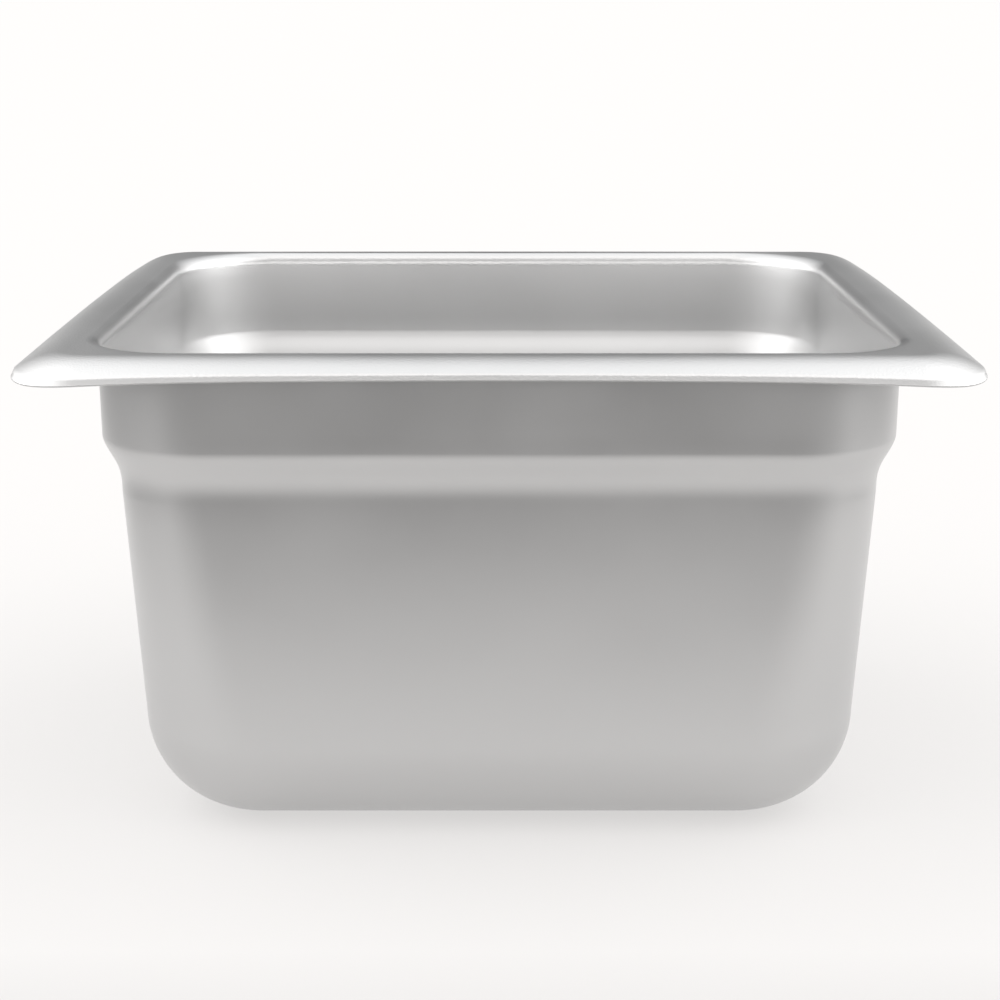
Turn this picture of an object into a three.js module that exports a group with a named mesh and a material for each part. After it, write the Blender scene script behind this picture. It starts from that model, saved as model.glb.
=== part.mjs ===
// Sixth-size steam table pan, four inches deep: one sheet of stainless steel drawn to shape.
//
// Millimetres. +Z is up, +X is to the right and +Y to the back. The origin is the centre of
// the flat face that the pan stands on. The pan is a single closed body: the sheet's outer
// skin runs from the base up the wall to the trimmed edge of the rim, and its inner skin runs
// back over the flange and down to the base.
import * as THREE from 'three';

// Over the rim, and from the resting face to the top of the flange.
const RIM_WIDTH = 176;
const RIM_DEPTH = 162;
const HEIGHT = 98;
const SHEET = 0.8;

// The rim: the flange's outer part curves down ever more steeply, then a short lip drops to
// the trimmed edge. That edge hangs lower near the four corners, where the sheet is drawn
// furthest, and the two front corners splay out.
const LIP_HEIGHT = 1;
const LIP_LEAN = 0.45;
const CROWN_WIDTH = 8.2;
const CROWN_DROP = 1.8;
const CROWN_CURVE = 2.2;
const RIM_CORNER = 13.5;
const CORNER_DROOP = 2;
const DROOP_REACH = 21.8;
const FRONT_SPLAY = 1.7;
const SPLAY_REACH = 15.5;

// The flange's flat ends this far in from the rim's outer edge, and bends down into the wall.
const FLANGE_WIDTH = 10.2;
const FLANGE_CORNER = 18;
const INNER_BEND = 2.2;

// The wall, at the middle of the sheet, down to the start of the bottom bend: depth under the
// flange's top, distance in from the rim's outer edge, and plan corner radius. The shoulder is
// the step that keeps stacked pans from jamming; it turns in quickly and eases off slowly.
const BAND_TOP = { depth: SHEET / 2 + INNER_BEND, inset: 11.9, corner: 21 };
const BAND_FOOT = { depth: 18.8, inset: 12, corner: 21.5 };
const SHOULDER_FOOT = { depth: 30, inset: 15.45, corner: 17.4 };
const SHOULDER_EASING = 1.6;
const WALL_FOOT = { depth: 76.8, inset: 17.2, corner: 23 };
const BASE_CORNER = 3;

// How finely the arcs are faceted.
const CROWN_STEPS = 7;
const INNER_BEND_STEPS = 4;
const SHOULDER_STEPS = 9;
const WALL_STEPS = 5;
const BASE_BEND_STEPS = 7;
const CORNER_STEPS = 9;
const SIDE_STEPS = 6;

const HALF_WIDTH = RIM_WIDTH / 2;
const HALF_DEPTH = RIM_DEPTH / 2;
const FLAT_START = SHEET / 2 + LIP_LEAN + CROWN_WIDTH;

const mix = (from, to, share) => from + (to - from) * share;
const ease = (share) => share * share * (3 - 2 * share);
const easeOff = (share) => ease(1 - (1 - share) ** SHOULDER_EASING);

// The middle of the sheet between two places on the wall.
function wallPoint(from, to, share, shape) {
  return {
    inset: mix(from.inset, to.inset, shape(share)),
    z: HEIGHT - mix(from.depth, to.depth, share),
    corner: mix(from.corner, to.corner, shape(share)),
  };
}

// The middle of the sheet from the trimmed edge to the base: distance in from the rim's
// outer edge, height, and plan corner radius.
function sheetMiddle() {
  const points = [];
  const linear = (share) => share;
  const top = HEIGHT - SHEET / 2;
  const edgeZ = top - CROWN_DROP - LIP_HEIGHT;
  points.push({ inset: SHEET / 2, z: edgeZ, corner: RIM_CORNER - SHEET / 2 });
  for (let step = 0; step <= CROWN_STEPS; step += 1) {
    const share = 1 - step / CROWN_STEPS;
    const inset = FLAT_START - CROWN_WIDTH * share;
    points.push({ inset, z: top - CROWN_DROP * share ** CROWN_CURVE, corner: RIM_CORNER - inset });
  }
  for (let step = 0; step < INNER_BEND_STEPS; step += 1) {
    const turn = (Math.PI / 2) * (step / INNER_BEND_STEPS);
    const inset = mix(FLANGE_WIDTH, BAND_TOP.inset, Math.sin(turn));
    const z = top - INNER_BEND * (1 - Math.cos(turn));
    points.push({ inset, z, corner: mix(FLANGE_CORNER, BAND_TOP.corner, Math.sin(turn)) });
  }
  points.push(wallPoint(BAND_TOP, BAND_FOOT, 0, linear));
  for (let step = 0; step <= SHOULDER_STEPS; step += 1) {
    points.push(wallPoint(BAND_FOOT, SHOULDER_FOOT, step / SHOULDER_STEPS, easeOff));
  }
  for (let step = 1; step < WALL_STEPS; step += 1) {
    points.push(wallPoint(SHOULDER_FOOT, WALL_FOOT, step / WALL_STEPS, linear));
  }
  const bendHeight = HEIGHT - WALL_FOOT.depth - SHEET / 2;
  for (let step = 0; step <= BASE_BEND_STEPS; step += 1) {
    const turn = (Math.PI / 2) * (step / BASE_BEND_STEPS);
    const inset = WALL_FOOT.inset + bendHeight * (1 - Math.cos(turn));
    const z = SHEET / 2 + bendHeight * (1 - Math.sin(turn));
    const corner = mix(WALL_FOOT.corner, BASE_CORNER, 1 - Math.cos(turn));
    points.push({ inset, z, corner });
  }
  return points;
}

// One skin of the sheet: its middle moved half a thickness out (side +1) or in (side -1),
// square to the section.
function skin(side) {
  const middle = sheetMiddle();
  return middle.map((point, index) => {
    const before = middle[Math.max(index - 1, 0)];
    const after = middle[Math.min(index + 1, middle.length - 1)];
    const along = new THREE.Vector2(after.inset - before.inset, after.z - before.z);
    along.normalize().multiplyScalar((side * SHEET) / 2);
    const lastOne = index === middle.length - 1;
    const inward = lastOne ? 0 : along.y;
    const upward = lastOne ? (-side * SHEET) / 2 : -along.x;
    return {
      inset: point.inset + inward,
      z: point.z + upward,
      corner: Math.max(point.corner - inward, SHEET / 2),
    };
  });
}

// The columns round the rim, anticlockwise from the middle of the right side: each one is a
// place on a corner's arc, or a share of the way along the side before it.
function columns() {
  const places = [];
  const signs = [[1, 1], [-1, 1], [-1, -1], [1, -1]];
  signs.forEach(([signX, signY], quadrant) => {
    for (let step = 0; step <= CORNER_STEPS; step += 1) {
      const angle = (Math.PI / 2) * (quadrant + step / CORNER_STEPS);
      places.push({ signX, signY, angle });
    }
    const [nextX, nextY] = signs[(quadrant + 1) % 4];
    const angle = (Math.PI / 2) * (quadrant + 1);
    for (let step = 1; step < SIDE_STEPS; step += 1) {
      const share = step / SIDE_STEPS;
      places.push({ signX: mix(signX, nextX, share), signY: mix(signY, nextY, share), angle });
    }
  });
  return places;
}

// Where a column stands for a point of the section. Near the rim's corners the drawing has
// let the sheet down, and splayed it out at the front.
function planPoint(column, point) {
  const { inset, corner } = point;
  const centreX = column.signX * (HALF_WIDTH - inset - corner);
  const centreY = column.signY * (HALF_DEPTH - inset - corner);
  const x = centreX + corner * Math.cos(column.angle);
  const y = centreY + corner * Math.sin(column.angle);
  const away = Math.hypot(HALF_WIDTH - Math.abs(x), HALF_DEPTH - Math.abs(y));
  const share = Math.max(1 - inset / FLAT_START, 0) ** 2;
  const drop = CORNER_DROOP * Math.exp(-away / DROOP_REACH) * share;
  const splay = y < 0 ? FRONT_SPLAY * Math.exp(-away / SPLAY_REACH) * share : 0;
  return new THREE.Vector3(x + Math.sign(x) * splay, y, point.z - drop);
}

// The closed sheet: rings from the outer face of the base round the trimmed edge to its
// inner face, and one flat fan across each face of the base.
function sheetGeometry() {
  const places = columns();
  const section = [...skin(1).reverse(), ...skin(-1)];
  const strips = places.map((column) => section.map((point) => planPoint(column, point)));
  const ringCount = strips[0].length;
  const positions = strips.flatMap((strip) => strip.flatMap((point) => point.toArray()));
  const indices = [];
  strips.forEach((strip, index) => {
    const here = index * ringCount;
    const next = ((index + 1) % strips.length) * ringCount;
    for (let ring = 0; ring < ringCount - 1; ring += 1) {
      indices.push(here + ring, next + ring, here + ring + 1);
      indices.push(next + ring, next + ring + 1, here + ring + 1);
    }
  });
  const underside = positions.length / 3;
  positions.push(0, 0, strips[0][0].z);
  const inside = positions.length / 3;
  positions.push(0, 0, strips[0][ringCount - 1].z);
  strips.forEach((strip, index) => {
    const here = index * ringCount;
    const next = ((index + 1) % strips.length) * ringCount;
    indices.push(underside, next, here);
    indices.push(inside, here + ringCount - 1, next + ringCount - 1);
  });
  const geometry = new THREE.BufferGeometry();
  geometry.setAttribute('position', new THREE.Float32BufferAttribute(positions, 3));
  geometry.setIndex(indices);
  geometry.computeVertexNormals();
  return geometry;
}

// Satin-finished stainless steel.
const steel = new THREE.MeshStandardMaterial({
  color: 0xb8b8b6,
  roughness: 0.34,
  metalness: 1,
});

const panShell = new THREE.Mesh(sheetGeometry(), steel);
panShell.name = 'pan_shell';

const group = new THREE.Group();
group.add(panShell);

export default group;
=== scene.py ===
# A sixth-size deli food pan, drawn from one sheet of stainless steel, in a plain light studio.
#
# Metres. +Z is up, +X is to the right and +Y to the back, as in the frame, and the pan stands
# on z = 0. The pan is made ring by ring, from the trimmed edge of its rim to its base.
import math

import bmesh
import bpy
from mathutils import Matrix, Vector


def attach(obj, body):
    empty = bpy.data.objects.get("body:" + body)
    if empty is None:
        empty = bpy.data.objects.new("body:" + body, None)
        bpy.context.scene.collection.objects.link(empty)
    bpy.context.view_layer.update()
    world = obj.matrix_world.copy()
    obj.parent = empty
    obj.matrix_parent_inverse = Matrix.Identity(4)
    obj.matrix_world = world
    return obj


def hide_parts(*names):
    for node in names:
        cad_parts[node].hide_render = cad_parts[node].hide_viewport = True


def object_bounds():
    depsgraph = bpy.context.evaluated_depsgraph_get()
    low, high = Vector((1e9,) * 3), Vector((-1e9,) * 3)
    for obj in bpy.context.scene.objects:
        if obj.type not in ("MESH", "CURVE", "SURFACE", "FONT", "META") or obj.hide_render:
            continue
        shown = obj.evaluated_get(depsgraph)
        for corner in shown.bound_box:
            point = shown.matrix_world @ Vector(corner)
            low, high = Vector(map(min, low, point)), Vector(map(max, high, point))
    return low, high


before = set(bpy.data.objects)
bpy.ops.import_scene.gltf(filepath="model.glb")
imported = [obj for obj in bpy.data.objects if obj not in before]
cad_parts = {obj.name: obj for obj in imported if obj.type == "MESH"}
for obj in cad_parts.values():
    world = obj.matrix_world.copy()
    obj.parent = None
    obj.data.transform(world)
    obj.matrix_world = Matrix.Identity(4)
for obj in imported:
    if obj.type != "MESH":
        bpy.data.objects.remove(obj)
cad_low, cad_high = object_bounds()

MM = 0.001
PAN_NODE = "pan_shell"
HALF_WIDTH = 88 * MM
HALF_DEPTH = 81 * MM
HEIGHT = cad_high[2]

# The sheet, and its section in millimetres. Insets are measured in from the rim's outer edge
# and depths down from the top of the flange, both to the middle of the sheet.
SHEET = 0.8
LIP_HEIGHT = 1.0
LIP_LEAN = 0.45
CROWN_WIDTH = 8.2
CROWN_DROP = 1.8
CROWN_CURVE = 2.2
FLAT_START = SHEET / 2 + LIP_LEAN + CROWN_WIDTH
RIM_CORNER = 13.5
CORNER_DROOP = 2.0
DROOP_REACH = 21.8
FRONT_SPLAY = 1.7
SPLAY_REACH = 15.5
FLANGE_END = 10.2
FLANGE_CORNER = 18.0
INNER_BEND = 2.2
BAND_TOP = 11.9
BAND_TOP_CORNER = 21.0
BAND_FOOT = 12.0
BAND_DEPTH = 18.8
BAND_CORNER = 21.5
SHOULDER_FOOT = 15.45
SHOULDER_DEPTH = 30.0
SHOULDER_CORNER = 17.4
SHOULDER_EASING = 1.6
WALL_FOOT = 17.2
WALL_DEPTH = 76.8
WALL_CORNER = 23.0
BASE_CORNER = 3.0
EDGE_RADIUS = 0.3
EDGE_STEPS = 4
EDGE_ANGLE = 60

# The steel's finish: its colour, its roughness by place, and the size and depth of its waves
# and grain in millimetres. The flange's finish fades in between two depths under its top.
STEEL = "#c8c8c8"
ROUGH_OUTSIDE = 0.34
ROUGH_INSIDE = 0.43
ROUGH_FLANGE = 0.295
FLANGE_FINISH = (4.5, 2.0)
SMEAR_SIZE = 28
SMEAR_ROUGHNESS = 0.02
WAVE_SIZE = 34
WAVE_DEPTH = 0.4
GRAIN_SIZE = 0.42
GRAIN_DEPTH = 0.06
GRAIN_ON_WALLS = 0.05

# The studio floor is a sheet of paper with painted shade: its reflectance, where the painted
# shade lies, half its width in metres, and how far it is below the pan in millimetres. The grey
# is painted shade for light that falls off towards the camera and the sides, and the pale part
# is shifted to the right as painted light.
PAPER_PALE = 0.24
PAPER_PAINTED_SHADE_GREY = 0.03
PAINTED_SHADE_FRONT = (-0.11, -0.35)
PAINTED_SHADE_SIDE = (0.21, 0.60)
PAPER_SPREAD = 0.27
PAINTED_SHADE_SHIFT = 0.05
FLOOR_REACH = 20
FLOOR_GAP = 0.2

# The paper's painted glow, light it gives off though it is no lamp, which lifts the shadow
# round the pan; and the tint and brightness of the studio by elevation in degrees.
PAPER_PAINTED_GLOW = 2.35
STUDIO_PEAK = 3.5
WARM = (1.0, 0.985, 0.975)
NEUTRAL = (1.0, 0.995, 0.99)
COOL = (0.99, 0.995, 1.0)
STUDIO_FRONT = {0: 1.7, 10: 2.1, 20: 0.9, 35: 0.45, 55: 1.8, 90: 1.28}
STUDIO_BACK = {0: 0.03, 10: 0.05, 20: 0.32, 35: 1.08, 55: 1.55, 90: 1.28}
STUDIO_SIDES = {0: 3.45, 10: 3.4, 20: 2.8, 35: 2.5, 55: 2.65, 90: 1.28}

# The camera: its lens in millimetres, its place over the top of the pan, and its downward tilt.
LENS = 75.28
SENSOR_WIDTH = 36
CAMERA_PLACE = (0.00014, -0.443, HEIGHT + 0.0659)
CAMERA_TILT = 0.2452
CAMERA_REACH = 100


def linear(channel):
    """One sRGB channel, from 0 to 1, as the linear value that the shaders work in."""
    if channel <= 0.04045:
        return channel / 12.92
    return ((channel + 0.055) / 1.055) ** 2.4


def colour(code):
    """A #rrggbb colour as linear red, green, blue and an alpha of 1."""
    channels = [int(code[place:place + 2], 16) / 255 for place in (1, 3, 5)]
    return (*map(linear, channels), 1.0)


def add_node(tree, kind, links=None, **settings):
    """Adds a node; settings name its properties or its input sockets, and links its inputs."""
    node = tree.nodes.new(kind)
    for name, value in settings.items():
        if hasattr(node, name):
            setattr(node, name, value)
        else:
            node.inputs[name.replace("_", " ")].default_value = value
    for socket, source in (links or {}).items():
        tree.links.new(source, node.inputs[socket])
    return node


# The pan's section, as rings from the trimmed edge in to the base.

class Ring:
    """A rounded rectangle round the pan: inset from the rim's edge, depth, and corner."""

    def __init__(self, inset, depth, corner):
        self.straight = (HALF_WIDTH - (inset + corner) * MM, HALF_DEPTH - (inset + corner) * MM)
        self.corner = corner * MM
        self.z = HEIGHT - depth * MM
        self.inset = inset


def mix(start, end, share):
    return start + (end - start) * share


def smooth(share):
    return share * share * (3 - 2 * share)


def pan_rings():
    """Every ring of the middle of the sheet, from the trimmed edge to the flat of the base."""
    half = SHEET / 2
    rings = []
    lip_steps, crown_steps = 5, 22
    for step in range(lip_steps):
        share = step / lip_steps
        inset = half + LIP_LEAN * share
        depth = half + CROWN_DROP + LIP_HEIGHT * (1 - share)
        rings.append(Ring(inset, depth, RIM_CORNER - inset))
    for step in range(crown_steps + 1):
        share = 1 - step / crown_steps
        inset = FLAT_START - CROWN_WIDTH * share
        depth = half + CROWN_DROP * share ** CROWN_CURVE
        rings.append(Ring(inset, depth, RIM_CORNER - inset))
    flat_steps, bend_steps = 3, 12
    for step in range(1, flat_steps):
        share = step / flat_steps
        corner = mix(RIM_CORNER - FLAT_START, FLANGE_CORNER, smooth(share))
        rings.append(Ring(mix(FLAT_START, FLANGE_END, share), half, corner))
    for step in range(bend_steps + 1):
        turn = math.pi / 2 * step / bend_steps
        share = math.sin(turn)
        depth = half + INNER_BEND * (1 - math.cos(turn))
        corner = mix(FLANGE_CORNER, BAND_TOP_CORNER, share)
        rings.append(Ring(mix(FLANGE_END, BAND_TOP, share), depth, corner))
    band_steps, shoulder_steps, wall_steps = 5, 20, 10
    for step in range(1, band_steps):
        share = step / band_steps
        depth = mix(half + INNER_BEND, BAND_DEPTH, share)
        corner = mix(BAND_TOP_CORNER, BAND_CORNER, share)
        rings.append(Ring(mix(BAND_TOP, BAND_FOOT, share), depth, corner))
    for step in range(shoulder_steps + 1):
        share = step / shoulder_steps
        depth = mix(BAND_DEPTH, SHOULDER_DEPTH, share)
        turned = smooth(1 - (1 - share) ** SHOULDER_EASING)
        inset = mix(BAND_FOOT, SHOULDER_FOOT, turned)
        rings.append(Ring(inset, depth, mix(BAND_CORNER, SHOULDER_CORNER, turned)))
    for step in range(1, wall_steps):
        share = step / wall_steps
        depth = mix(SHOULDER_DEPTH, WALL_DEPTH, share)
        corner = mix(SHOULDER_CORNER, WALL_CORNER, share)
        rings.append(Ring(mix(SHOULDER_FOOT, WALL_FOOT, share), depth, corner))
    base_steps = 24
    base_depth = HEIGHT / MM - half
    bend_height = base_depth - WALL_DEPTH
    for step in range(base_steps + 1):
        turn = math.pi / 2 * step / base_steps
        share = 1 - math.cos(turn)
        inset = WALL_FOOT + bend_height * share
        depth = WALL_DEPTH + bend_height * math.sin(turn)
        rings.append(Ring(inset, depth, mix(WALL_CORNER, BASE_CORNER, share)))
    for inset in (inset + 6, inset + 20):
        rings.append(Ring(inset, base_depth, BASE_CORNER))
    return rings


def carried(place, old, new):
    """Where a point of one ring lies on the next: straights keep their share of the side."""
    moved = []
    for axis in (0, 1):
        reach = abs(place[axis])
        if reach <= old.straight[axis]:
            reach *= new.straight[axis] / old.straight[axis]
        else:
            reach = new.straight[axis] + (reach - old.straight[axis]) * new.corner / old.corner
        moved.append(math.copysign(reach, place[axis]))
    return Vector((*moved, new.z))


def settled(place, share):
    """Where drawing leaves a point of the rim: corners hang low, and the front ones splay."""
    away = math.hypot(HALF_WIDTH - abs(place.x), HALF_DEPTH - abs(place.y)) / MM
    drop = CORNER_DROOP * math.exp(-away / DROOP_REACH) * share * MM
    splay = FRONT_SPLAY * math.exp(-away / SPLAY_REACH) * share * MM
    sideways = math.copysign(splay, place.x) if place.y < 0 else 0
    return place + Vector((sideways, 0, -drop))


def rim_outline(ring, corner_steps=20, side_cuts=23):
    """The first ring: a rectangle whose corners are rounded and whose sides are divided."""
    bm = bmesh.new()
    bmesh.ops.create_grid(bm, x_segments=1, y_segments=1, size=1)
    half_width, half_depth = (ring.straight[axis] + ring.corner for axis in (0, 1))
    bmesh.ops.scale(bm, vec=(half_width, half_depth, 1), verts=bm.verts)
    bmesh.ops.translate(bm, vec=(0, 0, ring.z), verts=bm.verts)
    bmesh.ops.bevel(
        bm, geom=bm.verts[:], offset=ring.corner, affect="VERTICES", segments=corner_steps,
        profile=0.5, material=-1,
    )
    bmesh.ops.delete(bm, geom=bm.faces[:], context="FACES_ONLY")
    longest = [edge for edge in bm.edges if edge.calc_length() > 3 * ring.corner]
    bmesh.ops.subdivide_edges(bm, edges=longest, cuts=side_cuts)
    return bm


def drawn_pan():
    """The pan: rings extruded one from another, its base filled, and the sheet made solid."""
    rings = pan_rings()
    bm = rim_outline(rings[0])
    edges = bm.edges[:]
    rim_verts = [(vert, 1.0) for vert in bm.verts]
    for old, new in zip(rings, rings[1:]):
        made = bmesh.ops.extrude_edge_only(bm, edges=edges)["geom"]
        edges = [item for item in made if isinstance(item, bmesh.types.BMEdge)]
        for vert in (item for item in made if isinstance(item, bmesh.types.BMVert)):
            vert.co = carried(vert.co, old, new)
            share = 1 - new.inset / FLAT_START
            if share > 0:
                rim_verts.append((vert, share ** 2))
    for vert, share in rim_verts:
        vert.co = settled(vert.co, share)
    bmesh.ops.contextual_create(bm, geom=edges)
    bmesh.ops.recalc_face_normals(bm, faces=bm.faces)
    mesh = bpy.data.meshes.new("drawn_pan")
    bm.to_mesh(mesh)
    bm.free()
    mesh.shade_smooth()
    pan = bpy.data.objects.new("drawn_pan", mesh)
    bpy.context.scene.collection.objects.link(pan)
    wall = pan.modifiers.new("sheet", "SOLIDIFY")
    wall.thickness = SHEET * MM
    wall.offset = 0
    wall.use_even_offset = True
    edge = pan.modifiers.new("trimmed edge", "BEVEL")
    edge.width = EDGE_RADIUS * MM
    edge.segments = EDGE_STEPS
    edge.limit_method = "ANGLE"
    edge.angle_limit = math.radians(EDGE_ANGLE)
    edge.harden_normals = True
    return pan


def noise(tree, place, size, detail=2.0):
    """Noise whose patches are about this many millimetres across."""
    return add_node(
        tree, "ShaderNodeTexNoise", {"Vector": place}, Scale=1 / (size * MM), Detail=detail,
    ).outputs["Fac"]


def blend(tree, share, start, end):
    """A number between two others; each is a constant or a node's output."""
    node = add_node(tree, "ShaderNodeMix", {"Factor": share})
    for socket, value in zip(node.inputs[2:4], (start, end)):
        if isinstance(value, float):
            socket.default_value = value
        else:
            tree.links.new(value, socket)
    return node.outputs[0]


def satin_stainless():
    """Stainless steel sheet, cold rolled to a fine grain and drawn between dies.

    The grain breaks the rim's highlight into a faint sparkle. Drawing leaves the walls very
    slightly wavy, so the edges of reflections wander. The flange is planished flat, and is
    smoother than the walls; the inside rubs on the punch and is duller.
    """
    material = bpy.data.materials.new("satin_drawn_stainless")
    material.use_nodes = True
    tree = material.node_tree
    tree.nodes.clear()
    place = add_node(tree, "ShaderNodeTexCoord").outputs["Object"]
    height = add_node(tree, "ShaderNodeSeparateXYZ", {"Vector": place}).outputs["Z"]
    facing = add_node(tree, "ShaderNodeNewGeometry").outputs["Normal"]
    level = add_node(tree, "ShaderNodeVectorMath", {0: place}, operation="MULTIPLY")
    level.inputs[1].default_value = (1, 1, 0)
    outward = add_node(
        tree, "ShaderNodeVectorMath", {0: level.outputs[0], 1: facing}, operation="DOT_PRODUCT",
    ).outputs["Value"]
    inside = add_node(
        tree, "ShaderNodeMapRange", {"Value": outward}, From_Min=0.01, From_Max=-0.01,
    ).outputs["Result"]
    flange = add_node(
        tree, "ShaderNodeMapRange", {"Value": height}, From_Min=HEIGHT - FLANGE_FINISH[0] * MM,
        From_Max=HEIGHT - FLANGE_FINISH[1] * MM,
    ).outputs["Result"]
    dull = blend(tree, flange, blend(tree, inside, ROUGH_OUTSIDE, ROUGH_INSIDE), ROUGH_FLANGE)
    smears = noise(tree, place, SMEAR_SIZE, 4.0)
    worn = add_node(
        tree, "ShaderNodeMapRange", {"Value": smears}, From_Min=0.3, From_Max=0.7,
        To_Min=-SMEAR_ROUGHNESS, To_Max=SMEAR_ROUGHNESS,
    ).outputs["Result"]
    rough = add_node(tree, "ShaderNodeMath", {0: dull, 1: worn}, operation="ADD").outputs[0]
    wavy = add_node(
        tree, "ShaderNodeBump", {"Height": noise(tree, place, WAVE_SIZE, 1.0)},
        Distance=WAVE_DEPTH * MM,
    ).outputs["Normal"]
    grained = add_node(
        tree, "ShaderNodeBump", {
            "Height": noise(tree, place, GRAIN_SIZE), "Normal": wavy,
            "Strength": blend(tree, flange, GRAIN_ON_WALLS, 1.0),
        },
        Distance=GRAIN_DEPTH * MM,
    ).outputs["Normal"]
    shader = add_node(
        tree, "ShaderNodeBsdfPrincipled", {"Roughness": rough, "Normal": grained}, Metallic=1.0,
    )
    shader.inputs["Base Color"].default_value = colour(STEEL)
    add_node(tree, "ShaderNodeOutputMaterial", {"Surface": shader.outputs["BSDF"]})
    return material


def paper_with_painted_shade():
    """Matt studio paper, pale round the pan, with painted shade that greys it towards the camera
    and the sides, and a painted glow that lifts the shadow round the pan though it is no lamp.

    Only the pan's front wall sees the painted grey end, and darkens towards the rim because of
    it.
    """
    material = bpy.data.materials.new("paper_with_painted_shade_and_glow")
    material.use_nodes = True
    tree = material.node_tree
    tree.nodes.clear()
    place = add_node(tree, "ShaderNodeTexCoord").outputs["Object"]
    x, y, _ = add_node(tree, "ShaderNodeSeparateXYZ", {"Vector": place}).outputs
    # Painted light: the pale part is shifted to the right, so the right side is brighter.
    shifted = add_node(tree, "ShaderNodeMath", {0: x}, operation="SUBTRACT")
    shifted.inputs[1].default_value = PAINTED_SHADE_SHIFT
    aside = add_node(
        tree, "ShaderNodeMath", {0: shifted.outputs[0]}, operation="ABSOLUTE",
    ).outputs[0]
    beside = add_node(tree, "ShaderNodeMath", {0: y, 2: aside}, operation="MULTIPLY_ADD")
    beside.inputs[1].default_value = -PAPER_SPREAD
    sides = add_node(
        tree, "ShaderNodeMapRange", {"Value": beside.outputs[0]}, From_Min=PAINTED_SHADE_SIDE[0],
        From_Max=PAINTED_SHADE_SIDE[1],
    ).outputs["Result"]
    front = add_node(
        tree, "ShaderNodeMapRange", {"Value": y}, From_Min=PAINTED_SHADE_FRONT[0],
        From_Max=PAINTED_SHADE_FRONT[1],
    ).outputs["Result"]
    share = add_node(tree, "ShaderNodeMath", {0: sides, 1: front}, operation="MAXIMUM").outputs[0]
    ramp = add_node(tree, "ShaderNodeValToRGB", {"Fac": share})
    stops = ramp.color_ramp.elements
    # The grey stop is painted shade; both stops also colour the painted glow.
    stops[0].position, stops[0].color = 0, (*[PAPER_PALE * channel for channel in WARM], 1)
    stops[1].position, stops[1].color = 1, (*[PAPER_PAINTED_SHADE_GREY * channel for channel in WARM], 1)
    shader = add_node(
        tree, "ShaderNodeBsdfPrincipled",
        {"Base Color": ramp.outputs["Color"], "Emission Color": ramp.outputs["Color"]},
        Roughness=0.9,
    )
    # Painted glow: the paper gives off light though it is no lamp, lifting the shadow under the
    # pan.
    shader.inputs["Emission Strength"].default_value = PAPER_PAINTED_GLOW
    shader.inputs["Specular IOR Level"].default_value = 0.0
    add_node(tree, "ShaderNodeOutputMaterial", {"Surface": shader.outputs["BSDF"]})
    return material


def floor():
    """The studio floor, a hair below the base so that the two faces don't coincide."""
    bm = bmesh.new()
    bmesh.ops.create_grid(bm, x_segments=1, y_segments=1, size=FLOOR_REACH)
    bmesh.ops.translate(bm, vec=(0, 0, -FLOOR_GAP * MM), verts=bm.verts)
    mesh = bpy.data.meshes.new("studio_floor")
    bm.to_mesh(mesh)
    bm.free()
    ground = bpy.data.objects.new("studio_floor", mesh)
    bpy.context.scene.collection.objects.link(ground)
    mesh.materials.append(paper_with_painted_shade())


def quarter(tree, elevation, brightness, tint):
    """How bright one quarter of the studio is, from its horizon to straight overhead."""
    ramp = add_node(tree, "ShaderNodeValToRGB", {"Fac": elevation})
    stops = ramp.color_ramp.elements
    angles = sorted(brightness)
    for angle in angles[1:-1]:
        stops.new((angle + 90) / 180)
    for stop, angle in zip(stops, angles):
        stop.position = (angle + 90) / 180
        stop.color = (*[brightness[angle] / STUDIO_PEAK * channel for channel in tint], 1)
    return ramp.outputs["Color"]


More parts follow.
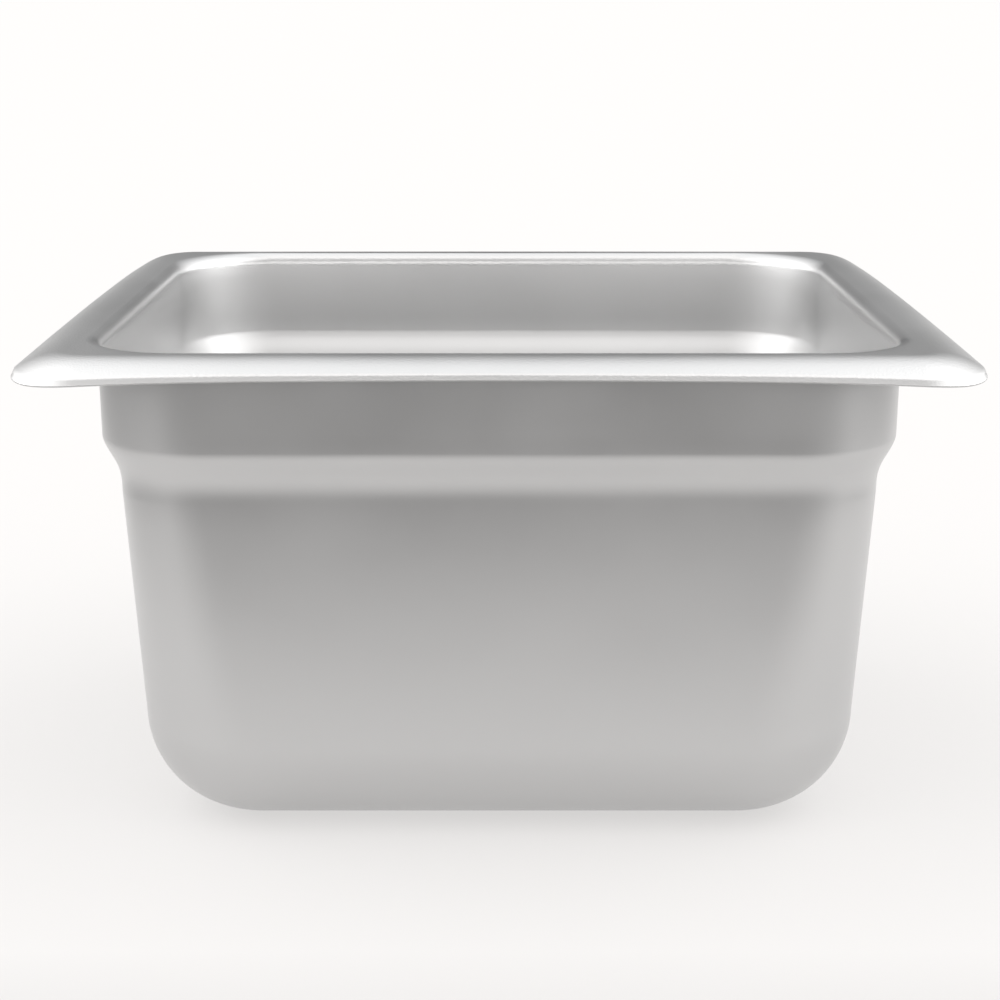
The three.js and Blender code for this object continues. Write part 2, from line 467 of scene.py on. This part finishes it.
def surround():
    """The studio: soft side walls, a soft front, and a back wall that is dark low down."""
    world = bpy.data.worlds.new("studio")
    world.use_nodes = True
    tree = world.node_tree
    tree.nodes.clear()
    direction = add_node(tree, "ShaderNodeTexCoord").outputs["Generated"]
    x, y, z = add_node(tree, "ShaderNodeSeparateXYZ", {"Vector": direction}).outputs
    turn = add_node(tree, "ShaderNodeMath", {0: z}, operation="ARCSINE").outputs[0]
    height = add_node(
        tree, "ShaderNodeMapRange", {"Value": turn}, From_Min=-math.pi / 2,
        From_Max=math.pi / 2,
    ).outputs["Result"]
    across = add_node(tree, "ShaderNodeMath", {0: x, 1: x}, operation="MULTIPLY").outputs[0]
    along = add_node(tree, "ShaderNodeMath", {0: y, 1: y}, operation="MULTIPLY").outputs[0]
    level = add_node(tree, "ShaderNodeMath", {0: across, 1: along}, operation="ADD").outputs[0]
    sideways = add_node(
        tree, "ShaderNodeMath", {0: across, 1: level}, operation="DIVIDE",
    ).outputs[0]
    behind = add_node(tree, "ShaderNodeMath", {0: y}, operation="GREATER_THAN")
    behind.inputs[1].default_value = 0
    ends = add_node(tree, "ShaderNodeMixRGB", {
        "Fac": behind.outputs[0],
        "Color1": quarter(tree, height, STUDIO_FRONT, WARM),
        "Color2": quarter(tree, height, STUDIO_BACK, COOL),
    }).outputs["Color"]
    around = add_node(tree, "ShaderNodeMixRGB", {
        "Fac": sideways, "Color1": ends, "Color2": quarter(tree, height, STUDIO_SIDES, NEUTRAL),
    }).outputs["Color"]
    light = add_node(tree, "ShaderNodeBackground", {"Color": around}, Strength=STUDIO_PEAK)
    add_node(tree, "ShaderNodeOutputWorld", {"Surface": light.outputs["Background"]})
    bpy.context.scene.world = world


def camera():
    lens = bpy.data.cameras.new("camera")
    lens.lens = LENS
    lens.sensor_width = SENSOR_WIDTH
    lens.clip_end = CAMERA_REACH
    view = bpy.data.objects.new("camera", lens)
    view.location = CAMERA_PLACE
    view.rotation_euler = (math.pi / 2 - CAMERA_TILT, 0, 0)
    bpy.context.scene.collection.objects.link(view)
    bpy.context.scene.camera = view


camera()
pan = drawn_pan()
pan.data.materials.append(satin_stainless())
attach(pan, "root")
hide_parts(PAN_NODE)
floor()
surround()
bpy.context.scene.view_settings.view_transform = "Standard"
